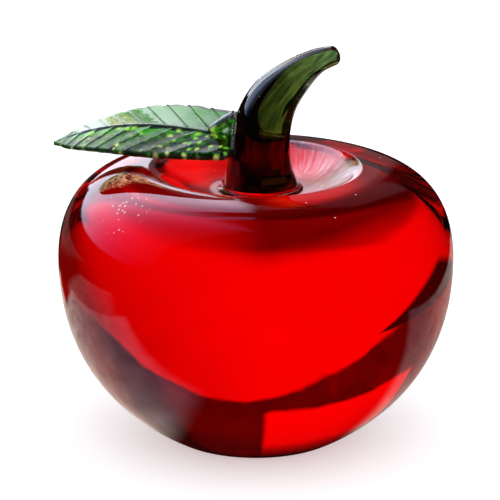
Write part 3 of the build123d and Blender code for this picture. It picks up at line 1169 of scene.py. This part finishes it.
def make_floor():
    material = bpy.data.materials.new("floor_paper")
    n = Nodes(material)
    place = n.add("ShaderNodeTexCoord").outputs["Object"]
    x, y, _ = n.in_mm(place)

    # painted light for the polished skin to mirror: the floor glows in pale patches, and stays dark before and
    # far off
    streaks = n.noise(place, 45.0, detail=4.0, distortion=1.5)
    mirrored = panels(x, y, *MIRRORED_FLOOR) * (streaks * 1.3 + 0.35) + 0.004

    # through the glass, the floor glows, with painted shade right behind the foot, the same before and behind
    away = abs(y)
    aside = x * n.math("SIGN", y)
    blotches = n.noise(place, 75.0, detail=3.0).ramp(0.50, 0.66, 1.0, 0.62)
    end = (away * 0.5 + aside).ramp(-50, -26, 0.95, 0.0) * away.ramp(84, 112)
    shade = panels(aside, away, *FLOOR_SHADE).most(
        panels(aside, away, SHADE_STRIP) * blotches,
        panels(abs(x), y, FLANK_SHADE),
        panels(x, y, FRONT_SHADE),
        end,
    )
    azimuth = n.math("ARCTAN2", x, y) * DEGREES
    through = folded(n, azimuth).slope(*SIDE_FALL) * (1.0 - shade)

    by_mirror, by_glass, by_camera = n.rays()
    tone = n.mix(n.noise(place, 900.0), *FLOOR_TONES)
    paper = n.add("ShaderNodeBsdfDiffuse", {"Color": n.mix(by_mirror.most(by_glass), tone, rgb(0, 0, 0))})
    warm = n.join(*(mirrored * share for share in FLOOR_WARMTH), kind="Color")
    light = n.mix(by_mirror, n.grey(by_camera * FLOOR_GLOW), warm)
    glow = n.add("ShaderNodeEmission", {"Color": n.mix(by_glass, light, n.grey(through))})
    both = n.add("ShaderNodeAddShader", {0: paper.outputs[0], 1: glow.outputs[0]})
    n.add("ShaderNodeOutputMaterial", {"Surface": both.outputs[0]})

    signs = ((-1, -1), (1, -1), (1, 1), (-1, 1))
    corners = [(a * FLOOR_SIZE, b * FLOOR_SIZE, -FLOOR_DROP) for a, b in signs]
    make_object("floor", corners, [(0, 1, 2, 3)], material)


# build

# how many seed bubbles, the seed of their random draw, and the least and largest radius
SKIN_SEEDS = (60, 11, 0.07, 0.17)
CLUSTER_SEEDS = (46, 5, 0.09, 0.15)
FUSE_SIZE = 0.13


def make_materials():
    red = glass(
        "red_glass", (0.9955, 0.0, 0.0), 150.0, (0.97, 0.93, 0.95), 0.015, wave_height=0.05, wave_scale=25.0,
        relief=dimple_ripples, sheen=(1.0, 0.45, 1.0), lustre=tooled_lustre, lustre_roughness=0.36,
        tone_and_painted_light=body_painted_shade_and_dust, roughness=tooled_roughness, clearness=dusty_clearness,
    )
    dark_green = glass(
        "stem_glass", (0.45, 0.40, 0.0), 400.0, (0.93, 0.96, 0.90), 0.02, wave_height=0.03, wave_scale=220.0,
        lustre=stem_lustre, tone_and_painted_light=stem_streaks_and_painted_light, clearness=dusty_clearness,
    )
    leaf_green = glass(
        "leaf_glass", (0.256, 0.72, 0.012), 1900.0, (0.94, 0.98, 0.92), 0.04, wave_height=0.03,
        wave_scale=500.0, lustre=leaf_lustre, lustre_roughness=0.38, tone_and_painted_light=leaf_casing,
        roughness=leaf_roughness, clearness=leaf_clearness,
    )
    clear = glass("clear_adhesive", (0.97, 0.98, 0.96), 20.0, (0.97, 0.97, 0.95), 0.05, ior=1.48)
    return red, dark_green, leaf_green, clear


def fuse(leaf):
    """Joins the stalk and the blade into one skin."""
    skin = leaf.modifiers.new("fuse", "REMESH")
    skin.mode = "VOXEL"
    skin.voxel_size = FUSE_SIZE * MM
    calm = leaf.modifiers.new("calm", "SMOOTH")
    calm.factor = 0.5
    calm.iterations = 3
    graph = bpy.context.evaluated_depsgraph_get()
    mesh = bpy.data.meshes.new_from_object(leaf.evaluated_get(graph))
    material = leaf.data.materials[0]
    leaf.modifiers.clear()
    leaf.data = mesh
    mesh.materials.clear()
    mesh.materials.append(material)
    mesh.shade_smooth()


def main():
    scene = bpy.context.scene
    scene.view_settings.view_transform = "Standard"
    scene.cycles.use_denoising = True
    scene.cycles.max_bounces = 24
    scene.cycles.transmission_bounces = 24
    scene.cycles.glossy_bounces = 12
    make_camera()
    make_world()
    make_floor()
    red, dark_green, leaf_green, clear = make_materials()

    parts = [(*body_mesh(), False)] + seeds(*SKIN_SEEDS, under_skin) + seeds(*CLUSTER_SEEDS, in_cluster)
    body = make_object("glass_body", *gather(parts), red, sharp_angle=40)
    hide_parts("apple_body")

    stem = make_object("glass_stem", *stem_mesh(), dark_green)
    outward(stem)
    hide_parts("stem")

    leaf = make_object("glass_leaf", *gather(leaf_parts()), leaf_green)
    outward(leaf)
    fuse(leaf)
    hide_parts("leaf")

    ring = make_object("stem_fillet", *stem_adhesive_mesh(), clear)
    outward(ring)
    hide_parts("stem_adhesive")

    bead = make_object("leaf_bead", *leaf_adhesive_mesh(), clear)
    outward(bead)
    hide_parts("leaf_adhesive")

    for piece in (body, stem, leaf, ring, bead):
        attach(piece, "root")


main()
